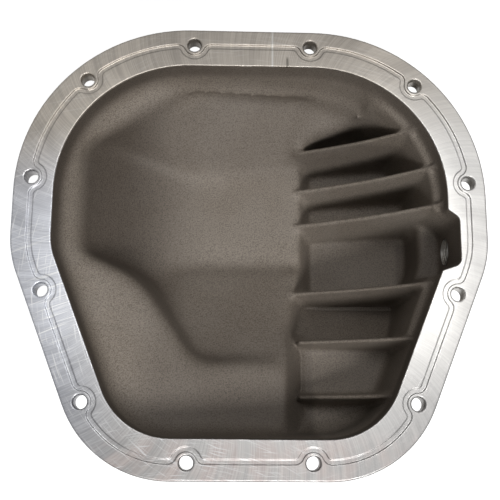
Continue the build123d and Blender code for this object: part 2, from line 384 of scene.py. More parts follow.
class Place:
    """The object position's measures in a material, and the zones read along them."""

    def __init__(self, graph: Graph, position: object) -> None:
        """Makes the measures.

        Args:
            graph: The material's graph.
            position: The object position.
        """
        x, y, z = graph.split(position)
        self.graph = graph
        self.known: dict[Way, Socket] = {
            Way.X: x, Way.Y: y, Way.Z: z,
            Way.SIDE: graph.math("ABSOLUTE", x),
            Way.UP_OR_DOWN: graph.math("ABSOLUTE", y),
            Way.REACH: graph.length(x, y, 0.0),
            Way.DIAGONAL: graph.math("ADD", x, y),
            Way.SLANT: graph.math("ADD", y, graph.times(x, -0.25)),
        }

    def zone(self, zone: Zone) -> Socket:
        """How much of a zone's effect shows.

        Args:
            zone: The zone.

        Returns:
            The share as a socket.
        """
        steps = [self.graph.fade(self.known[way], ramp) for way, ramp in zone.ramps]
        shown = self.graph.times(*steps, zone.strength)
        shown.node.label = zone.label
        return shown

    def stroke(self, stroke: Stroke) -> Socket:
        """How much of a stroke shows.

        Args:
            stroke: The stroke.

        Returns:
            The share as a socket.
        """
        graph = self.graph
        across = graph.math("SUBTRACT", self.known[Way.X], stroke.middle_m)
        edge = Ramp(stroke.half_m * 1.5, stroke.half_m * 0.5)
        shown = graph.fade(graph.math("ABSOLUTE", across), edge)
        return graph.times(shown, self.zone(stroke.zone))


@dataclass(frozen=True)
class SandCastFinish:
    """The grey-brown skin that a sand mould leaves on aluminium."""

    lit: Colour = shade(127, 118, 108)
    dull: Colour = shade(117, 107, 96)  # the colour of its darker, browner areas
    fleck: Colour = shade(172, 162, 150)  # the colour of its pale grains
    pit: Colour = shade(74, 66, 58)  # the colour of the pits between them
    # What a colour is multiplied by in the painted shade on the upper walls, the scoop, the slope,
    # the port's recess and the lower pockets and floor.
    painted_shade: Colour = (0.38, 0.36, 0.35, 1.0)
    grain_mm: float = 0.95  # the size of a sand grain's print
    fine_ratio: float = 2.7  # how many fine grains lie along a coarse one
    fine_share: float = 0.45  # how much they add to its height
    stain_per_m: float = 16.0
    grain_height_mm: float = 0.20
    share: float = 0.5  # how much of the pale grains and of the pits shows
    roughness: float = 0.58
    fleck_roughness: float = 0.12
    metallic: float = 0.12
    # Painted shade: the zones where the skin's colour is darkened as if it lay in shade.
    painted_shade_zones: tuple[Zone, ...] = (
        Zone("upper walls", 0.95, (
            (Way.Z, Ramp(-0.024, -0.011)), (Way.DIAGONAL, Ramp(0.16, 0.02, 0.55, 1.0)),
        )),
        Zone("scoop", 0.85, ((Way.X, Ramp(-0.025, -0.105)), (Way.Z, Ramp(-0.028, -0.044)))),
        Zone("slope", 0.42, ((Way.Y, Ramp(0.070, 0.095)), (Way.Z, Ramp(-0.040, -0.056)))),
        Zone("port's recess", 0.70, (
            (Way.X, Ramp(0.126, 0.134)), (Way.UP_OR_DOWN, Ramp(0.030, 0.020)),
        )),
        Zone("lower pockets", 0.28, (
            (Way.X, Ramp(0.045, 0.055)), (Way.Y, Ramp(0.032, 0.024)),
            (Way.Y, Ramp(-0.108, -0.104)),
        )),
        Zone("lower floor", 1.0, (
            (Way.Y, Ramp(0.005, -0.115, 0.0, 0.60)), (Way.X, Ramp(0.058, 0.050)),
            (Way.X, Ramp(-0.105, -0.065)),
        )),
    )


@dataclass(frozen=True)
class CutterMarks:
    """The marks that a face mill leaves on the land."""

    land_m: float = 0.15  # how far the land's middle lies from the origin
    bow_per_m2: float = 34.0  # how strongly the streaks bow across the land
    line_mm: float = 0.9
    streak_per_m: float = 14.0  # how many breaks a streak has along a metre
    # How many patches lie along a metre, along the land and across it.
    patch_per_m: Pair = (90.0, 30.0)
    # The middles of the cutter's sweeps, in X and Y.
    sweeps_m: tuple[Pair, ...] = ((0.02, -0.03), (-0.05, -0.31))
    ring_per_m: float = 900.0
    ring_breaks: float = 6.0  # how many breaks a ring has along one radian
    ring_share: float = 0.5  # how much they add to the height
    height_mm: float = 0.02


@dataclass(frozen=True)
class MilledFinish:
    """The bright face that a milling cutter leaves, with painted shade, a painted reflection and a
    pinkish tint.
    """

    bright: Colour = shade(224, 222, 218)
    # Painted shade: the darker, warmer colour of the land's top.
    warm_shade: Colour = shade(196, 186, 172)
    # Painted reflection: the brighter, bluer colour of the land's left.
    cool_reflection: Colour = shade(216, 220, 230)
    rosy: Colour = shade(212, 194, 186)
    groove: Colour = (0.52, 0.52, 0.54, 1.0)  # what a colour is multiplied by in a streak
    glint: Colour = (0.95, 0.95, 0.94, 1.0)
    shadow: Colour = (0.50, 0.50, 0.51, 1.0)  # what a colour is multiplied by in the darker areas
    shadow_share: float = 0.9  # how much of the shadow shows
    edge_mm: float = 1.3  # how far its edges are broken
    edge_samples: int = 8
    roughness: float = 0.33
    patch_roughness: float = 0.10
    metallic: float = 0.95
    # Painted shade over the land's top.
    warm_shade_zone: Zone = Zone("painted shade on top", 0.8, ((Way.SLANT, Ramp(0.02, 0.14)),))
    # Painted reflection over the land's left.
    cool_reflection_zone: Zone = Zone("painted reflection on left", 0.7, (
        (Way.X, Ramp(-0.08, -0.15)), (Way.Y, Ramp(0.10, 0.02)),
    ))
    rosy_zone: Zone = Zone("pinkish bottom", 0.55, ((Way.Y, Ramp(-0.13, -0.155)),))
    streak_zone: Zone = Zone("streaks", 1.0, ((Way.X, Ramp(0.05, 0.14, 0.42, 0.22)),))
    sweep_zone: Zone = Zone("sweeps", 1.0, ((Way.DIAGONAL, Ramp(-0.06, -0.20, 0.12, 0.80)),))
    shadow_zones: tuple[Zone, ...] = (
        Zone("bottom", 1.0, ((Way.Y, Ramp(-0.035, -0.13)),)),
        Zone("outer edge", 1.0, (
            (Way.REACH, Ramp(0.150, 0.172)), (Way.X, Ramp(0.05, 0.13, 0.35, 0.60)),
        )),
        Zone("top", 0.75, ((Way.Y, Ramp(0.11, 0.14)), (Way.SIDE, Ramp(0.14, 0.07)))),
    )
    strokes: tuple[Stroke, ...] = (
        Stroke(0.0158, 0.0006, (0.86, 0.85, 0.82, 1.0),
               Zone("pale line", 0.6, ((Way.Y, Ramp(0.120, 0.125)),))),
        Stroke(0.0275, 0.0009, (0.12, 0.11, 0.09, 1.0),
               Zone("dark scratch", 0.7, (
                   (Way.Y, Ramp(0.152, 0.148)), (Way.Y, Ramp(0.136, 0.140)),
               ))),
    )


@dataclass(frozen=True)
class FillerPort:
    """The filler port's bore, along X."""

    axis_mm: Pair = (6.0, -50.0)  # in Y and Z
    radius_mm: float = 10.3
    start_mm: float = 158.6  # in X


@dataclass(frozen=True)
class BoltLayout:
    """Where the bolt holes lie, mirrored about the upright middle line."""

    # The X and Y of the right-hand hole of each pair.
    rows_mm: tuple[Pair, ...] = (
        (45.41, 159.10), (127.20, 128.50), (166.17, 50.14),
        (154.67, -35.99), (122.10, -116.89), (45.41, -159.10),
    )
    radius_mm: float = 6.0  # what counts as a hole's own wall and chamfer


@dataclass
class Casting:
    """The finish of the cover, as cast outside its machined faces."""

    node: str = "cover"
    land_depth_mm: float = 1.75  # how far below the gasket face the cutter has reached
    flange_mm: float = 14.2
    port_margin_mm: float = 0.6  # how much wider than the port its cut wall counts
    port_inset_mm: float = 0.3  # how far inside its start the port's wall counts as cut
    # How wide the step is between cut and cast metal: on the land, round a hole, and along it.
    step_mm: Triple = (0.12, 0.1, 1.0)
    skin: SandCastFinish = field(default_factory=SandCastFinish)
    milled: MilledFinish = field(default_factory=MilledFinish)
    marks: CutterMarks = field(default_factory=CutterMarks)
    bolts: BoltLayout = field(default_factory=BoltLayout)
    port: FillerPort = field(default_factory=FillerPort)

    def grain_group(self) -> GroupMaker:
        """The group that prints sand grains: a speckle, pits, broad stains and a height.

        Returns:
            The group, with Speckle, Pits, Stain and Height outputs.
        """
        made = GroupMaker("sand grain", "Grain", ("Speckle", "Pits", "Stain", "Height"))
        graph, skin, at = made.graph, self.skin, made.taken("Position")
        density = graph.math("DIVIDE", 1.0, made.taken("Grain"))
        coarse = graph.noise(at, density, detail=3.0, roughness=0.65)
        fine = graph.noise(at, graph.times(density, skin.fine_ratio), detail=1.0)
        broad = graph.noise(at, skin.stain_per_m, detail=3.0, roughness=0.6)
        grains = graph.times(coarse, graph.math("ADD", fine, 0.5))
        made.give("Speckle", graph.fade(grains, Ramp(0.34, 0.70)))
        made.give("Pits", graph.fade(coarse, Ramp(0.50, 0.36)))
        made.give("Stain", graph.fade(broad, Ramp(0.36, 0.64)))
        made.give("Height", graph.math("ADD", coarse, graph.times(fine, skin.fine_share)))
        return made

    def rings(self, graph: Graph, x: object, y: object) -> Socket:
        """The broken rings of the cutter's sweeps.

        Args:
            graph: The group's graph.
            x: The X of the point.
            y: The Y of the point.

        Returns:
            How much of a ring shows.
        """
        marks = self.marks
        seen: list[object] = []
        for middle_x, middle_y in marks.sweeps_m:
            off_x = graph.math("SUBTRACT", x, middle_x)
            off_y = graph.math("SUBTRACT", y, middle_y)
            ring = graph.join(
                graph.times(graph.length(off_x, off_y, 0.0), marks.ring_per_m),
                graph.times(graph.math("ARCTAN2", off_y, off_x), marks.ring_breaks),
            )
            seen.append(graph.fade(graph.noise(ring, 1.0), Ramp(0.57, 0.70)))
        return graph.most(*seen)

    def marks_group(self) -> GroupMaker:
        """The group that draws cutter marks across the land, bowed as a face mill leaves them.

        Returns:
            The group, with Marks, Patches, Arcs and Height outputs.
        """
        made = GroupMaker("cutter marks", "Line", ("Marks", "Patches", "Arcs", "Height"))
        graph, marks = made.graph, self.marks
        x, y, _ = graph.split(made.taken("Position"))
        reach = graph.length(x, y, 0.0)
        turn = graph.math("ARCTAN2", y, x)
        off_middle = graph.math("POWER", graph.math("SUBTRACT", reach, marks.land_m), 2.0)
        bow = graph.times(off_middle, marks.bow_per_m2)
        along = graph.times(graph.math("ADD", turn, bow), marks.land_m)
        density = graph.math("DIVIDE", 1.0, made.taken("Line"))
        lines = graph.join(graph.times(along, density), graph.times(reach, marks.streak_per_m))
        streaks = graph.noise(lines, 1.0, detail=3.0, roughness=0.7)
        along_land, across_land = marks.patch_per_m
        slow = graph.join(graph.times(along, along_land), graph.times(reach, across_land))
        patches = graph.noise(slow, 1.0)
        arcs = self.rings(graph, x, y)
        made.give("Marks", graph.fade(streaks, Ramp(0.38, 0.62)))
        made.give("Patches", graph.fade(patches, Ramp(0.35, 0.65)))
        made.give("Arcs", arcs)
        made.give("Height", graph.math("ADD", streaks, graph.times(arcs, marks.ring_share)))
        return made

    def machined_mask(self, place: Place) -> Socket:
        """Where the metal is cut: the land, the bolt holes and the filler port.

        Args:
            place: The position's measures.

        Returns:
            1 where the metal is cut and 0 where it is as cast.
        """
        graph, known = place.graph, place.known
        x, y, z, side = (known[way] for way in (Way.X, Way.Y, Way.Z, Way.SIDE))
        on_land, round_hole, along_hole = (v * MM for v in self.step_mm)
        floor = -self.land_depth_mm * MM
        land = graph.fade(z, Ramp(floor - on_land, floor))
        nearest: object = 1.0
        for hole_x, hole_y in self.bolts.rows_mm:
            off_x = graph.math("SUBTRACT", side, hole_x * MM)
            off_y = graph.math("SUBTRACT", y, hole_y * MM)
            nearest = graph.math("MINIMUM", nearest, graph.length(off_x, off_y, 0.0))
        reach = self.bolts.radius_mm * MM
        underside = -self.flange_mm * MM
        in_hole = graph.times(
            graph.fade(nearest, Ramp(reach + round_hole, reach)),
            graph.fade(z, Ramp(underside - along_hole, underside)),
        )
        port_y, port_z = (v * MM for v in self.port.axis_mm)
        from_axis = graph.length(
            graph.math("SUBTRACT", y, port_y), graph.math("SUBTRACT", z, port_z), 0.0
        )
        wall = (self.port.radius_mm + self.port_margin_mm) * MM
        mouth = (self.port.start_mm + self.port_inset_mm) * MM
        in_port = graph.times(
            graph.fade(from_axis, Ramp(wall + round_hole, wall)),
            graph.fade(x, Ramp(mouth - along_hole, mouth)),
        )
        return graph.most(land, in_hole, in_port)

    def tinted(self, place: Place, marks: Node) -> Socket:
        """The milled face's colour: clean metal with painted shade at its top, a painted reflection
        at its left, a pinkish tint, marks, lines and painted shadows.

        Args:
            place: The position's measures.
            marks: The placed cutter marks group.

        Returns:
            The colour as a socket.
        """
        graph, milled = place.graph, self.milled
        colour = graph.blend(place.zone(milled.warm_shade_zone), milled.bright, milled.warm_shade)
        colour = graph.blend(place.zone(milled.cool_reflection_zone), colour, milled.cool_reflection)
        rosy = graph.times(place.zone(milled.rosy_zone), marks.outputs["Patches"])
        colour = graph.blend(rosy, colour, milled.rosy)
        unlit = graph.math("SUBTRACT", 1.0, marks.outputs["Marks"])
        unlit = graph.times(unlit, place.zone(milled.streak_zone))
        colour = graph.blend(unlit, colour, milled.groove, how=Blend.MULTIPLY)
        swept = graph.times(marks.outputs["Arcs"], place.zone(milled.sweep_zone))
        colour = graph.blend(swept, colour, milled.glint)
        for stroke in milled.strokes:
            colour = graph.blend(place.stroke(stroke), colour, stroke.colour)
        shadow = graph.most(*(place.zone(zone) for zone in milled.shadow_zones))
        shadow = graph.times(shadow, milled.shadow_share)
        return graph.blend(shadow, colour, milled.shadow, how=Blend.MULTIPLY)

    def cast_colour(self, place: Place, grain: Node) -> Socket:
        """The cast skin's colour: stains, pits and pale grains, with painted shade on its walls and
        in its hollows.

        Args:
            place: The position's measures.
            grain: The placed sand grain group.

        Returns:
            The colour as a socket.
        """
        graph, skin = place.graph, self.skin
        colour = graph.blend(grain.outputs["Stain"], skin.dull, skin.lit)
        colour = graph.blend(graph.times(grain.outputs["Pits"], skin.share), colour, skin.pit)
        colour = graph.blend(graph.times(grain.outputs["Speckle"], skin.share), colour, skin.fleck)
        # Painted shade over the skin, as much as the strongest zone gives.
        painted_shade_share = graph.most(*(place.zone(zone) for zone in skin.painted_shade_zones))
        return graph.blend(painted_shade_share, colour, skin.painted_shade, how=Blend.MULTIPLY)

    def relief(self, graph: Graph, cut: object, grain: Node, marks: Node) -> Socket:
        """The normal: sand grains on the skin, cutter marks and broken edges on the cut metal.

        Args:
            graph: The material's graph.
            cut: Where the metal is cut.
            grain: The placed sand grain group.
            marks: The placed cutter marks group.

        Returns:
            The normal as a socket.
        """
        rise_cast = graph.times(grain.outputs["Height"], self.skin.grain_height_mm * MM)
        rise_milled = graph.times(marks.outputs["Height"], self.marks.height_mm * MM)
        bump = graph.node("ShaderNodeBump")
        bump.inputs["Strength"].default_value = 1.0
        bump.inputs["Distance"].default_value = 1.0
        graph.feed(bump.inputs["Height"], graph.between(cut, rise_cast, rise_milled))
        edges = graph.node("ShaderNodeBevel", samples=self.milled.edge_samples)
        edges.inputs["Radius"].default_value = self.milled.edge_mm * MM
        facing = graph.node("ShaderNodeNewGeometry").outputs["Normal"]
        turned = graph.node("ShaderNodeMix", data_type="VECTOR")
        for socket, item in zip(turned.inputs[4:6], (facing, edges.outputs[0])):
            graph.feed(socket, item)
        graph.feed(turned.inputs[0], cut)
        graph.feed(bump.inputs["Normal"], turned.outputs[1])
        return bump.outputs[0]

    def material(self) -> Material:
        """Builds the finish of the whole casting.

        Returns:
            The material.
        """
        made, graph, shader = blank("cast and milled aluminium")
        position = graph.node("ShaderNodeTexCoord").outputs["Object"]
        skin, milled = self.skin, self.milled
        grain = self.grain_group().place(graph, Position=position, Grain=skin.grain_mm * MM)
        marks = self.marks_group().place(graph, Position=position, Line=self.marks.line_mm * MM)
        place = Place(graph, position)
        cut = self.machined_mask(place)
        cast, bare = self.cast_colour(place, grain), self.tinted(place, marks)
        graph.feed(shader.inputs["Base Color"], graph.blend(cut, cast, bare))
        graph.feed(shader.inputs["Metallic"], graph.between(cut, skin.metallic, milled.metallic))
        cast_rough = graph.math(
            "ADD", skin.roughness, graph.times(grain.outputs["Speckle"], skin.fleck_roughness)
        )
        milled_rough = graph.math(
            "ADD", milled.roughness, graph.times(marks.outputs["Patches"], milled.patch_roughness)
        )
        graph.feed(shader.inputs["Roughness"], graph.between(cut, cast_rough, milled_rough))
        graph.feed(shader.inputs["Normal"], self.relief(graph, cut, grain, marks))
        return made

    def dress(self, pieces: list[Object]) -> None:
        """Gives the casting's pieces their finish.

        Args:
            pieces: The pieces.
        """
        finish = self.material()
        for piece in pieces:
            piece.data.materials.clear()
            piece.data.materials.append(finish)


def sides_of(quads: np.ndarray) -> np.ndarray:
    """The sides of quads, as pairs of point numbers."""
    return np.concatenate([quads[:, [i, (i + 1) % 4]] for i in range(4)])


@dataclass
class SoftBowl:
    """The casting's mesh, remade inside the bowl with the soft blends that a sand mould leaves.

    It also closes the slit that the solid's wall has at the ledge below the filler port.
    """

    node: str = "cover"
    weld_mm: float = 0.002  # the distance within which the CAD mesh's points are one
    # How near an edge lies to the seam, and to another border, to be on it.
    near_mm: Pair = (0.001, 0.05)
    # A point beside the well's floor, where the inner surface is looked for.
    seed_m: Triple = (0.0, 0.04, -0.098)
    voxel_mm: float = 1.6  # the grid that the inner surface is remade on
    seam_mm: float = 6.0  # how far below the gasket face the soft surface starts
    overlap_mm: float = 1.5  # how far the plain wall runs on behind it
    lip_mm: float = 1.6  # how far the soft surface runs into the filler port
    bore_mm: float = 1.0  # how far outside the port's radius its wall still counts
    # The Y of the ribs, whose crests stay crisp.
    ribs_mm: tuple[float, ...] = (98.6, 67.8, 37.0, -24.6, -67.3, -110.5)
    # The smoothing's share by the distance from a rib, in mm.
    rib_hold: Ramp = Ramp(2.2, 6.0, 0.05, 1.0)
    no_rib_mm: float = 100.0  # the distance from a rib that counts in the well
    seam_hold: Ramp = Ramp(1.0, 9.0)  # the smoothing's share by the depth below the seam, in mm
    # The smoothing's share by the distance from the port's wall, in mm.
    port_hold: Ramp = Ramp(1.0, 4.0, 0.1, 1.0)
    port_run_mm: float = 1.5  # how far before the port that share starts to count
    well: Ramp = Ramp(28.0, 40.0, 1.0, 0.0)  # the further smoothing's share in the well, by X in mm
    roof_rise: Ramp = Ramp(101.5, 104.5)  # that share under the top wall, by Y in mm
    roof_end: Ramp = Ramp(98.0, 108.0, 1.0, 0.0)  # what it is multiplied by, by X in mm
    passes: int = 19
    well_passes: int = 75  # further passes over the soft floors alone
    pull: float = 0.5  # how far a point moves to its neighbours' mean in a pass
    port: FillerPort = field(default_factory=FillerPort)
    # The ledge's Y, and a Z that only the outside reaches past it.
    ledge_mm: Pair = (-35.0, -106.0)
    slit_from_mm: float = 45.0  # where the slit beside the ledge starts, in X

    def merged(self, source: Object) -> Shell:
        """Copies the CAD mesh and joins its loose triangles.

        Args:
            source: The CAD node.

        Returns:
            The joined copy.
        """
        shell = bmesh.new()
        shell.from_mesh(source.data)
        shell.transform(source.matrix_world)
        bmesh.ops.remove_doubles(shell, verts=shell.verts, dist=self.weld_mm * MM)
        return shell

    def ends_at(self, edge: Edge) -> bool:
        """Whether the inner surface ends at an edge: the seam, the ledge or the port's circle.

        Args:
            edge: The edge.

        Returns:
            True where it ends.
        """
        at = [v.co / MM for v in edge.verts]
        level = -(self.seam_mm + self.overlap_mm)
        near_seam, near = self.near_mm
        on_seam = all(abs(v.z - level) < near_seam for v in at)
        ledge_y, ledge_z = self.ledge_mm
        on_ledge = all(abs(v.y - ledge_y) < near and v.z < ledge_z for v in at)
        port_y, port_z = self.port.axis_mm
        on_port = all(
            abs(math.hypot(v.y - port_y, v.z - port_z) - self.port.radius_mm) < near
            and abs(v.x - self.port.start_mm) < near
            for v in at
        )
        return on_seam or on_ledge or on_port

    def plain_part(self, shell: Shell) -> Mesh:
        """Takes the bowl's inner surface out of the copy, below the seam.

        Args:
            shell: The joined copy, which is used up.

        Returns:
            The flange, the upper wall, the port's bore and the outside.
        """
        level = -(self.seam_mm + self.overlap_mm) * MM
        geom = list(shell.verts) + list(shell.edges) + list(shell.faces)
        bmesh.ops.bisect_plane(
            shell, geom=geom, dist=1e-7, plane_co=(0.0, 0.0, level), plane_no=(0.0, 0.0, 1.0)
        )
        seed = Vector(self.seed_m)
        first = min(
            (face for face in shell.faces if face.normal.z > 0.9),
            key=lambda face: (face.calc_center_median() - seed).length,
        )
        found = {first}
        front = [first]
        while front:
            face = front.pop()
            for edge in face.edges:
                if self.ends_at(edge):
                    continue
                for other in edge.link_faces:
                    if other not in found:
                        found.add(other)
                        front.append(other)
        bmesh.ops.delete(shell, geom=list(found), context="FACES")
        mesh = bpy.data.meshes.new("cover_plain")
        shell.to_mesh(mesh)
        shell.free()
        return mesh

    def remade(self, mesh: Mesh) -> Mesh:
        """Remakes a closed mesh on an even grid.

        Args:
            mesh: The closed mesh.

        Returns:
            The even mesh.
        """
        holder = placed("grid_maker", mesh)
        grid = holder.modifiers.new("grid", "REMESH")
        grid.mode = "VOXEL"
        grid.voxel_size = self.voxel_mm * MM
        graph = bpy.context.evaluated_depsgraph_get()
        even = bpy.data.meshes.new_from_object(holder.evaluated_get(graph))
        bpy.data.objects.remove(holder)
        return even

    def inner(self, even: Mesh) -> tuple[np.ndarray, np.ndarray]:
        """Picks the bowl's inner surface out of the even mesh.

        Args:
            even: The whole casting on an even grid.

        Returns:
            The surface's points, in metres, and its quads.
        """
        points = np.empty(len(even.vertices) * 3)
        even.vertices.foreach_get("co", points)
        points = points.reshape(-1, 3)
        quads = np.array([p.vertices[:] for p in even.polygons if len(p.vertices) == 4])
        x, y, z = points.T / MM
        port_y, port_z = self.port.axis_mm
        in_bore = (x > self.port.start_mm + self.lip_mm) & (
            np.hypot(y - port_y, z - port_z) < self.port.radius_mm + self.bore_mm
        )
        ledge_y, ledge_z = self.ledge_mm
        outside = (y < ledge_y + 0.6) & (z < ledge_z - 1.0)
        allowed = (z < -self.seam_mm) & ~in_bore & ~outside
        quads = quads[allowed[quads].all(axis=1)]
        sides = sides_of(quads)
        reached = np.zeros(len(points), bool)
        near = np.unique(quads)
        reached[near[np.argmin(np.linalg.norm(points[near] - self.seed_m, axis=1))]] = True
        count = 0
        while count != reached.sum():
            count = reached.sum()
            for first, second in ((0, 1), (1, 0)):
                reached[sides[reached[sides[:, first]], second]] = True
        quads = quads[reached[quads].all(axis=1)]
        used = np.unique(quads)
        number = np.full(len(points), -1)
        number[used] = np.arange(len(used))
        return points[used], number[quads]

    def soft_part(self, even: Mesh) -> Mesh:
        """Makes the bowl's soft inner surface, with the strip over the slit.

        Args:
            even: The whole casting on an even grid.

        Returns:
            The surface.
        """
        points, quads = self.inner(even)
        strip = self.strip(points)
        points = self.smoothed(self.filled(points), quads)
        quads = np.vstack([quads, len(points) + np.arange(4)])
        points = np.vstack([points, strip])
        mesh = bpy.data.meshes.new("cover_bowl")
        mesh.from_pydata(points.tolist(), [], quads.tolist())
        mesh.shade_smooth()
        return mesh

    def strip(self, points: np.ndarray) -> np.ndarray:
        """The strip that covers the slit beside the ledge.

        Args:
            points: The surface's points before any is raised, in metres.

        Returns:
            Its four corners, in metres.
        """
        x, y, z = points.T / MM
        ledge_y, ledge_z = self.ledge_mm
        beside, over = ledge_y + 1.0, 1.5
        in_slit = (np.abs(y - beside) < over) & (z < ledge_z - 2.0) & (x > self.slit_from_mm)
        west, east = x[in_slit].min() - over, x[in_slit].max() + over
        south, north, height = ledge_y - 3.0, ledge_y + 4.0, ledge_z + 1.4
        flat = ((west, south), (east, south), (east, north), (west, north))
        return np.array([(*corner, height) for corner in flat]) * MM

    def filled(self, points: np.ndarray) -> np.ndarray:
        """Raises the floor before the step between the lowest ribs, and the slit.

        Args:
            points: The surface's points, in metres.

        Returns:
            The points, with those that lie too deep moved up.
        """
        x, y, z = points.T / MM
        rim_floor = -(25.0 + 0.1263 * (x + 145.0))
        basin_floor = -(92.5 + 0.546 * (y + 6.0))
        basin_end, ramp_top, step_depth, ramp_from = -84.0, -62.0, 76.0, 4.0
        floor = np.where(y < basin_end, rim_floor, np.minimum(rim_floor, basin_floor))
        fall = Ramp(30.0, 43.5).linear(x)
        ramp = floor * (1.0 - fall) - step_depth * fall
        on_ramp = (x > ramp_from) & (x < self.slit_from_mm) & (y < ramp_top) & (z < ramp)
        ledge_y, ledge_z = self.ledge_mm
        level, foot_z, foot_shift = ledge_z + 1.0, ledge_z - 7.0, -2.0
        beside = (y > ledge_y - 2.0) & (y < ledge_y + 4.0)
        in_slit = (x > self.slit_from_mm) & beside & (z < level)
        raised = points.copy()
        raised[on_ramp, 2] = ramp[on_ramp] * MM
        raised[in_slit, 2] = level * MM
        raised[in_slit & (z < foot_z), 1] += foot_shift * MM
        return raised

    def shares(self, points: np.ndarray) -> tuple[np.ndarray, np.ndarray]:
        """How much each point is smoothed.

        Args:
            points: The surface's points, in metres.

        Returns:
            The shares in the passes over the whole bowl, and in the further ones.
        """
        x, y, z = points.T / MM
        off_rib = np.min([np.abs(y - rib) for rib in self.ribs_mm], axis=0)
        amount = self.rib_hold.linear(np.where(x > self.well.high, off_rib, self.no_rib_mm))
        amount *= self.seam_hold.linear(-z - self.seam_mm)
        port_y, port_z = self.port.axis_mm
        off_wall = np.hypot(y - port_y, z - port_z) - self.port.radius_mm
        near_port = x > self.port.start_mm - self.port_run_mm
        amount *= np.where(near_port, self.port_hold.linear(off_wall), 1.0)
        in_roof = self.roof_rise.linear(y) * self.roof_end.linear(x)
        return amount, amount * np.maximum(self.well.linear(x), in_roof)

    def smoothed(self, points: np.ndarray, quads: np.ndarray) -> np.ndarray:
        """Blends the inner surface: much on the floors, hardly on the ribs' crests.

        Args:
            points: The surface's points, in metres.
            quads: Its faces.

        Returns:
            The blended points.
        """
        edges, uses = np.unique(np.sort(sides_of(quads), axis=1), axis=0, return_counts=True)
        starts = np.concatenate([edges[:, 0], edges[:, 1]])
        ends = np.concatenate([edges[:, 1], edges[:, 0]])
        size = len(points)
        degree = np.bincount(starts, minlength=size)
        bowl, well = self.shares(points)
        for share in (bowl, well):
            share[edges[uses == 1]] = 0.0
        for turn in range(self.passes + self.well_passes):
            share = bowl if turn < self.passes else well
            mean = np.stack([
                np.bincount(starts, weights=points[ends, axis], minlength=size)
                for axis in range(3)
            ], axis=1) / degree[:, None]
            points = points + self.pull * share[:, None] * (mean - points)
        return points

    def build(self, source: Object) -> list[Object]:
        """Makes both parts of the casting's visible mesh.

        Args:
            source: The CAD node.

        Returns:
            The plain part and the soft bowl, without a finish.
        """
        shell = self.merged(source)
        closed = bpy.data.meshes.new("closed")
        shell.to_mesh(closed)
        even = self.remade(closed)
        parts = (("cover_plain", self.plain_part(shell)), ("cover_bowl", self.soft_part(even)))
        made = []
        for name, mesh in parts:
            piece = placed(name, mesh)
            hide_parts(self.node)
            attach(piece, "root")
            made.append(piece)
        return made


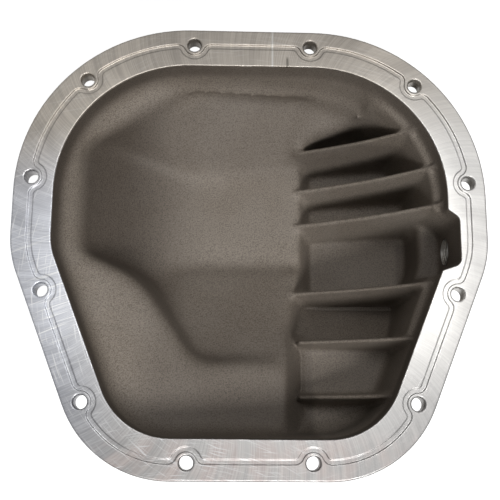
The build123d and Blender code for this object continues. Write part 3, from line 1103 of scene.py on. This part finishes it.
@dataclass
class PortThread:
    """The thread inside the filler port, a ridge wound along its wall."""

    wall_mm: float = 10.35  # the radius of the ridge's foot, just inside the port's wall
    crest_mm: float = 9.25
    pitch_mm: float = 1.81
    start_mm: float = 160.2
    end_mm: float = 175.4
    foot_half: float = 0.44  # half the foot's and the crest's width, as shares of the pitch
    crest_half: float = 0.07
    steps: int = 64
    port: FillerPort = field(default_factory=FillerPort)
    dull: Colour = shade(190, 186, 178)  # the metal's colour under its oil film
    bright: Colour = shade(236, 234, 228)

    def finish(self) -> Material:
        """Freshly cut thread metal, a little oily.

        Returns:
            The material.
        """
        made, graph, shader = blank("cut thread")
        position = graph.node("ShaderNodeTexCoord").outputs["Object"]
        film = graph.noise(position, 420.0, detail=3.0, roughness=0.6)
        colour = graph.blend(graph.fade(film, Ramp(0.35, 0.7)), self.dull, self.bright)
        graph.feed(shader.inputs["Base Color"], colour)
        graph.feed(shader.inputs["Roughness"], graph.fade(film, Ramp(0.3, 0.7, 0.30, 0.46)))
        shader.inputs["Metallic"].default_value = 0.6
        bump = graph.node("ShaderNodeBump")
        bump.inputs["Distance"].default_value = 0.02 * MM
        graph.feed(bump.inputs["Height"], film)
        graph.feed(shader.inputs["Normal"], bump.outputs[0])
        return made

    def tree(self, finish: Material) -> NodeTree:
        """Builds the geometry nodes that wind a ridge of four-sided section.

        Args:
            finish: The ridge's material.

        Returns:
            The tree, with named sizes as its inputs.
        """
        tree = bpy.data.node_groups.new("wound ridge", "GeometryNodeTree")
        tree.interface.new_socket("Geometry", in_out="OUTPUT", socket_type="NodeSocketGeometry")
        for label in ("Wall Radius", "Crest Radius", "Pitch", "Turns"):
            tree.interface.new_socket(label, in_out="INPUT", socket_type="NodeSocketFloat")
        graph = Graph(tree)
        entry, leave = graph.node("NodeGroupInput"), graph.node("NodeGroupOutput")
        sizes = entry.outputs
        depth = graph.math("SUBTRACT", sizes["Wall Radius"], sizes["Crest Radius"])
        spiral = graph.node("GeometryNodeCurveSpiral")
        spiral.inputs["Resolution"].default_value = self.steps
        graph.feed(spiral.inputs["Rotations"], sizes["Turns"])
        graph.feed(spiral.inputs["Start Radius"], sizes["Wall Radius"])
        graph.feed(spiral.inputs["End Radius"], sizes["Wall Radius"])
        graph.feed(spiral.inputs["Height"], graph.times(sizes["Pitch"], sizes["Turns"]))
        section = graph.node("GeometryNodeCurvePrimitiveQuadrilateral", mode="POINTS")
        foot = graph.times(sizes["Pitch"], self.foot_half)
        crest = graph.times(sizes["Pitch"], self.crest_half)
        corners = (
            (0.0, graph.times(foot, -1.0)), (0.0, foot),
            (depth, crest), (depth, graph.times(crest, -1.0)),
        )
        for number, corner in enumerate(corners, start=1):
            graph.feed(section.inputs[f"Point {number}"], graph.join(*corner))
        sweep = graph.node("GeometryNodeCurveToMesh")
        sweep.inputs["Fill Caps"].default_value = True
        graph.feed(sweep.inputs["Curve"], spiral.outputs[0])
        graph.feed(sweep.inputs["Profile Curve"], section.outputs[0])
        real = graph.node("GeometryNodeRealizeInstances")
        graph.feed(real.inputs[0], sweep.outputs[0])
        paint = graph.node("GeometryNodeSetMaterial")
        paint.inputs["Material"].default_value = finish
        graph.feed(paint.inputs["Geometry"], real.outputs[0])
        graph.feed(leave.inputs[0], paint.outputs[0])
        return tree

    def build(self) -> Object:
        """Winds the thread, makes it a plain mesh and puts it in the port.

        Returns:
            The thread.
        """
        finish = self.finish()
        tree = self.tree(finish)
        holder = placed("thread_maker", bpy.data.meshes.new("thread_maker"))
        winder = holder.modifiers.new("wind", "NODES")
        winder.node_group = tree
        turns = (self.end_mm - self.start_mm) / self.pitch_mm
        sizes = {
            "Wall Radius": self.wall_mm * MM, "Crest Radius": self.crest_mm * MM,
            "Pitch": self.pitch_mm * MM, "Turns": turns,
        }
        for item in tree.interface.items_tree:
            if item.name in sizes:
                winder[item.identifier] = sizes[item.name]
        graph = bpy.context.evaluated_depsgraph_get()
        mesh = bpy.data.meshes.new_from_object(holder.evaluated_get(graph))
        bpy.data.objects.remove(holder)
        mesh.name = "port_thread"
        port_y, port_z = self.port.axis_mm
        mesh.transform(
            Matrix.Translation((self.start_mm * MM, port_y * MM, port_z * MM))
            @ Matrix.Rotation(math.pi / 2, 4, "Y")
        )
        thread = placed("port_thread", mesh)
        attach(thread, "root")
        return thread


@dataclass(frozen=True)
class Lamp:
    """A soft rectangular lamp that faces the cover."""

    name: str
    place_m: Triple
    size_m: Pair
    watts: float


@dataclass
class Studio:
    """The floor, the lamps, the world and the camera."""

    floor_half_m: float = 8.0
    paper_glow: float = 0.80  # how brightly the floor's paper is seen beyond its lighting
    sky_seen: float = 0.94  # how much brighter the world is seen than it lights
    sky_light: float = 0.06
    mirrored: float = 0.45  # how much of a glow is seen in reflections
    aim_m: Triple = (0.0, 0.0, -0.05)
    lamps: tuple[Lamp, ...] = (
        Lamp("front", (0.20, -0.95, 1.10), (0.8, 0.45), 15.5),
        Lamp("above", (0.12, 0.25, 1.5), (0.4, 0.4), 5.0),
        Lamp("right", (0.72, 0.34, 1.5), (0.5, 0.6), 1.6),
    )
    camera_m: Triple = (-0.0210, -0.1310, 0.6141)
    # Its right, up and back.
    camera_axes: tuple[Triple, Triple, Triple] = (
        (0.99940, 0.00628, 0.03403), (-0.01301, 0.97941, 0.20147), (-0.03206, -0.20180, 0.97890),
    )

    def floor(self) -> None:
        """Makes the pale floor that the cover lies on."""
        half, height = self.floor_half_m, CAD_BOX[0].z
        flat = ((-half, -half), (half, -half), (half, half), (-half, half))
        mesh = bpy.data.meshes.new("floor")
        mesh.from_pydata([(*corner, height) for corner in flat], [], [(0, 1, 2, 3)])
        mesh.materials.append(self.paper())
        floor = placed("floor", mesh)

    def paper(self) -> Material:
        """White paper that the camera and reflections see a little brighter than it is lit.

        Returns:
            The material.
        """
        made, graph, shader = blank("white paper")
        inputs = shader.inputs
        inputs["Base Color"].default_value = (0.80, 0.80, 0.80, 1.0)
        inputs["Roughness"].default_value = 0.9
        inputs["Specular IOR Level"].default_value = 0.1
        inputs["Emission Color"].default_value = (1.0, 1.0, 1.0, 1.0)
        graph.feed(inputs["Emission Strength"], self.seen_directly(graph, self.paper_glow))
        return made

    def seen_directly(self, graph: Graph, strength: float) -> Socket:
        """A strength that only camera, mirror and glass rays see.

        Args:
            graph: The graph of the material or world.
            strength: The strength that they see.

        Returns:
            The strength as a socket.
        """
        rays = graph.node("ShaderNodeLightPath").outputs
        bounced = graph.most(rays["Is Glossy Ray"], rays["Is Transmission Ray"])
        seen = graph.most(rays["Is Camera Ray"], graph.times(bounced, self.mirrored))
        return graph.times(seen, strength)

    def hang(self, lamp: Lamp) -> None:
        """Hangs a lamp.

        Args:
            lamp: The lamp.
        """
        data = bpy.data.lights.new(lamp.name, "AREA")
        data.shape = "RECTANGLE"
        data.size, data.size_y = lamp.size_m
        data.energy = lamp.watts
        made = placed(lamp.name, data)
        made.location = lamp.place_m
        made.rotation_mode = "QUATERNION"
        way = Vector(self.aim_m) - Vector(lamp.place_m)
        made.rotation_quaternion = way.to_track_quat("-Z", "Y")

    def world(self) -> None:
        """Makes a plain, pale surrounding light that the camera sees as white."""
        made = bpy.data.worlds.new("studio")
        made.use_nodes = True
        graph = Graph(made.node_tree)
        inputs = made.node_tree.nodes["Background"].inputs
        inputs["Color"].default_value = (1.0, 1.0, 1.0, 1.0)
        seen = self.seen_directly(graph, self.sky_seen)
        graph.feed(inputs["Strength"], graph.math("ADD", seen, self.sky_light))
        bpy.context.scene.world = made

    def camera(self) -> None:
        """Stands the camera where the photograph was taken."""
        data = bpy.data.cameras.new("photo")
        data.lens = 60.48
        data.sensor_width = 36.0
        data.clip_start = 0.01
        made = placed("photo", data)
        turn = Matrix(self.camera_axes).transposed()
        made.matrix_world = Matrix.Translation(self.camera_m) @ turn.to_4x4()
        bpy.context.scene.camera = made

    def build(self) -> None:
        """Sets up the whole studio."""
        bpy.context.scene.view_settings.view_transform = "Standard"
        self.floor()
        self.world()
        for lamp in self.lamps:
            self.hang(lamp)
        self.camera()


def main() -> None:
    """Dresses the cover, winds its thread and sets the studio."""
    logging.basicConfig(level=logging.INFO, format="%(message)s")
    casting = Casting()
    pieces = SoftBowl(node=casting.node).build(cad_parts[casting.node])
    casting.dress(pieces)
    LOG.info("built %s", {piece.name: len(piece.data.polygons) for piece in pieces})
    thread = PortThread().build()
    LOG.info("built %s with %d faces", thread.name, len(thread.data.polygons))
    Studio().build()
    bpy.context.view_layer.update()


if __name__ == "__main__":
    main()
